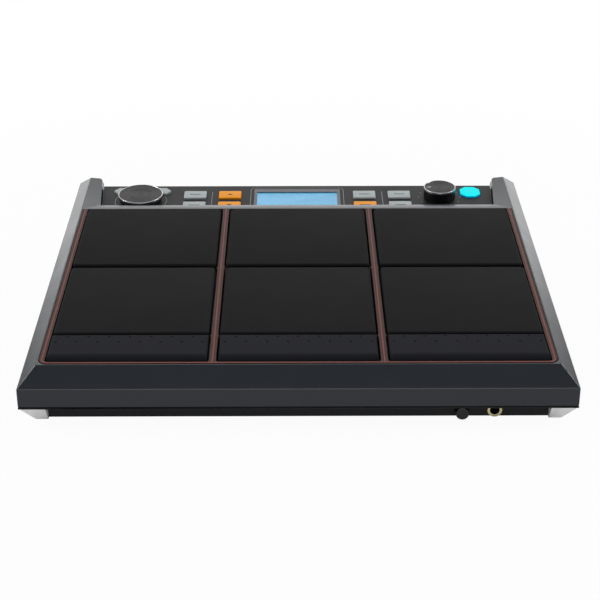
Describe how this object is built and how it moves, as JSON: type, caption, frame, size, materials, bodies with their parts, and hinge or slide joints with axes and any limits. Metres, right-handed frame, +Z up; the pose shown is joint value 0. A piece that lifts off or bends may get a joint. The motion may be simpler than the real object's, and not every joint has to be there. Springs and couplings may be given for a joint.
{
  "type": "electronic percussion pad",
  "caption": "Wedge-shaped electronic percussion pad with rubber pads and edge bars, lit trim, and a sunken rear control panel with jog dial, volume knob, display and keys.",
  "frame": {"origin": "on the table under the middle of the case", "axes": "+X to the player's right, +Y to the back (sockets), +Z up; the deck rises 6 degrees to the back"},
  "size_m": [0.3676, 0.3216, 0.0709],
  "materials": {
    "case_top": "fine textured dark grey moulding",
    "case_bottom": "black textured moulding",
    "panel": "dark grey printed panel",
    "trim": "smoky brown translucent trim",
    "light": "red light guide",
    "pad_rubber": "matte charcoal playing rubber",
    "plate_steel": "zinc plated sheet",
    "piezo": "brass sensor disc",
    "foam": "dark grey cellular foam",
    "black_knob": "gloss black moulding",
    "bright_ring": "polished ring",
    "spun_cap": "dark anodised, spun in circles",
    "shaft_steel": "plain turned shaft",
    "control_can": "grey control body",
    "key_grey": "light grey keycap",
    "key_orange": "orange keycap",
    "power_lit": "cyan lit button",
    "switch_black": "black push switch",
    "bezel": "grey display bezel",
    "window": "clear window",
    "display": "blue lit display",
    "board": "green circuit board",
    "socket_black": "black socket body",
    "gold": "gold coloured ring nut",
    "nickel": "nickel plated",
    "foot": "light grey rubber foot",
    "screw_dark": "blackened screw",
    "insert": "threaded brass insert"
  },
  "bodies": {
    "case": {"bottom_case": "case_bottom", "case_screws": "screw_dark", "control_panel": "panel", "corner_feet": "foot", "dc_inlet": "socket_black", "edge_bar_1": "pad_rubber", "edge_bar_2": "pad_rubber", "edge_bar_3": "pad_rubber", "front_jack_pcb": "board", "jog_encoder_body": "control_can", "lcd_bezel": "bezel", "lcd_module": "display", "lcd_window": "window", "light_guide": "light", "main_pcb": "board", "pad_1": "pad_rubber", "pad_2": "pad_rubber", "pad_3": "pad_rubber", "pad_4": "pad_rubber", "pad_5": "pad_rubber", "pad_6": "pad_rubber", "pad_foams": "foam", "pad_plates": "plate_steel", "panel_pcb": "board", "panel_screws": "shaft_steel", "pcb_screws": "shaft_steel", "phones_jack": "socket_black", "phones_jack_nut": "gold", "phones_pot_body": "control_can", "piezo_discs": "piezo", "rear_jack_nuts": "nickel", "rear_jack_pcb": "board", "rear_jacks": "socket_black", "tact_switches": "switch_black", "threaded_inserts": "insert", "top_case": "case_top", "trim_frame": "trim", "usb_socket": "nickel", "volume_pot_body": "control_can"},
    "jog_dial_body": {"jog_dial": "black_knob", "jog_dial_ring": "bright_ring", "jog_dial_cap": "spun_cap", "jog_encoder_shaft": "shaft_steel"},
    "volume_knob_body": {"volume_knob": "black_knob", "volume_knob_ring": "bright_ring", "volume_knob_cap": "spun_cap", "volume_pot_shaft": "shaft_steel"},
    "phones_knob_body": {"phones_knob": "black_knob", "phones_pot_shaft": "shaft_steel"},
    "key_left_outer_rear_body": {"key_left_outer_rear": "key_grey"},
    "key_left_outer_front_body": {"key_left_outer_front": "key_grey"},
    "key_up_body": {"key_up": "key_orange"},
    "key_down_body": {"key_down": "key_orange"},
    "key_right_inner_rear_body": {"key_right_inner_rear": "key_grey"},
    "key_right_inner_front_body": {"key_right_inner_front": "key_orange"},
    "key_right_outer_rear_body": {"key_right_outer_rear": "key_grey"},
    "key_right_outer_front_body": {"key_right_outer_front": "key_grey"},
    "dial_key_left_body": {"dial_key_left": "key_grey"},
    "dial_key_right_body": {"dial_key_right": "key_grey"},
    "power_button_body": {"power_button": "power_lit"}
  },
  "joints": [
    {"name": "jog_turn", "type": "hinge", "parent": "case", "child": "jog_dial_body", "pos_m": [-0.128, 0.11612, 0.05971], "axis": [0, -0.1045, 0.9945], "continuous": true},
    {"name": "volume_turn", "type": "hinge", "parent": "case", "child": "volume_knob_body", "pos_m": [0.117, 0.12258, 0.06039], "axis": [0, -0.1045, 0.9945], "range_deg": [-240, 60]},
    {"name": "phones_level_turn", "type": "hinge", "parent": "case", "child": "phones_knob_body", "pos_m": [0.10785, -0.15081, 0.0065], "axis": [0, -1, 0], "range_deg": [-150, 150]},
    {"name": "key_left_outer_rear_press", "type": "slide", "parent": "case", "child": "key_left_outer_rear_body", "axis": [0, 0.1045, -0.9945], "range_m": [0, 0.001], "stiffness_N_per_m": 800, "springref_m": -0.0005},
    {"name": "key_left_outer_front_press", "type": "slide", "parent": "case", "child": "key_left_outer_front_body", "axis": [0, 0.1045, -0.9945], "range_m": [0, 0.001], "stiffness_N_per_m": 800, "springref_m": -0.0005},
    {"name": "key_up_press", "type": "slide", "parent": "case", "child": "key_up_body", "axis": [0, 0.1045, -0.9945], "range_m": [0, 0.001], "stiffness_N_per_m": 800, "springref_m": -0.0005},
    {"name": "key_down_press", "type": "slide", "parent": "case", "child": "key_down_body", "axis": [0, 0.1045, -0.9945], "range_m": [0, 0.001], "stiffness_N_per_m": 800, "springref_m": -0.0005},
    {"name": "key_right_inner_rear_press", "type": "slide", "parent": "case", "child": "key_right_inner_rear_body", "axis": [0, 0.1045, -0.9945], "range_m": [0, 0.001], "stiffness_N_per_m": 800, "springref_m": -0.0005},
    {"name": "key_right_inner_front_press", "type": "slide", "parent": "case", "child": "key_right_inner_front_body", "axis": [0, 0.1045, -0.9945], "range_m": [0, 0.001], "stiffness_N_per_m": 800, "springref_m": -0.0005},
    {"name": "key_right_outer_rear_press", "type": "slide", "parent": "case", "child": "key_right_outer_rear_body", "axis": [0, 0.1045, -0.9945], "range_m": [0, 0.001], "stiffness_N_per_m": 800, "springref_m": -0.0005},
    {"name": "key_right_outer_front_press", "type": "slide", "parent": "case", "child": "key_right_outer_front_body", "axis": [0, 0.1045, -0.9945], "range_m": [0, 0.001], "stiffness_N_per_m": 800, "springref_m": -0.0005},
    {"name": "dial_key_left_press", "type": "slide", "parent": "case", "child": "dial_key_left_body", "axis": [0, 0.1045, -0.9945], "range_m": [0, 0.001], "stiffness_N_per_m": 800, "springref_m": -0.0005},
    {"name": "dial_key_right_press", "type": "slide", "parent": "case", "child": "dial_key_right_body", "axis": [0, 0.1045, -0.9945], "range_m": [0, 0.001], "stiffness_N_per_m": 800, "springref_m": -0.0005},
    {"name": "power_button_press", "type": "slide", "parent": "case", "child": "power_button_body", "axis": [0, 0.1045, -0.9945], "range_m": [0, 0.001], "stiffness_N_per_m": 800, "springref_m": -0.0005}
  ]
}
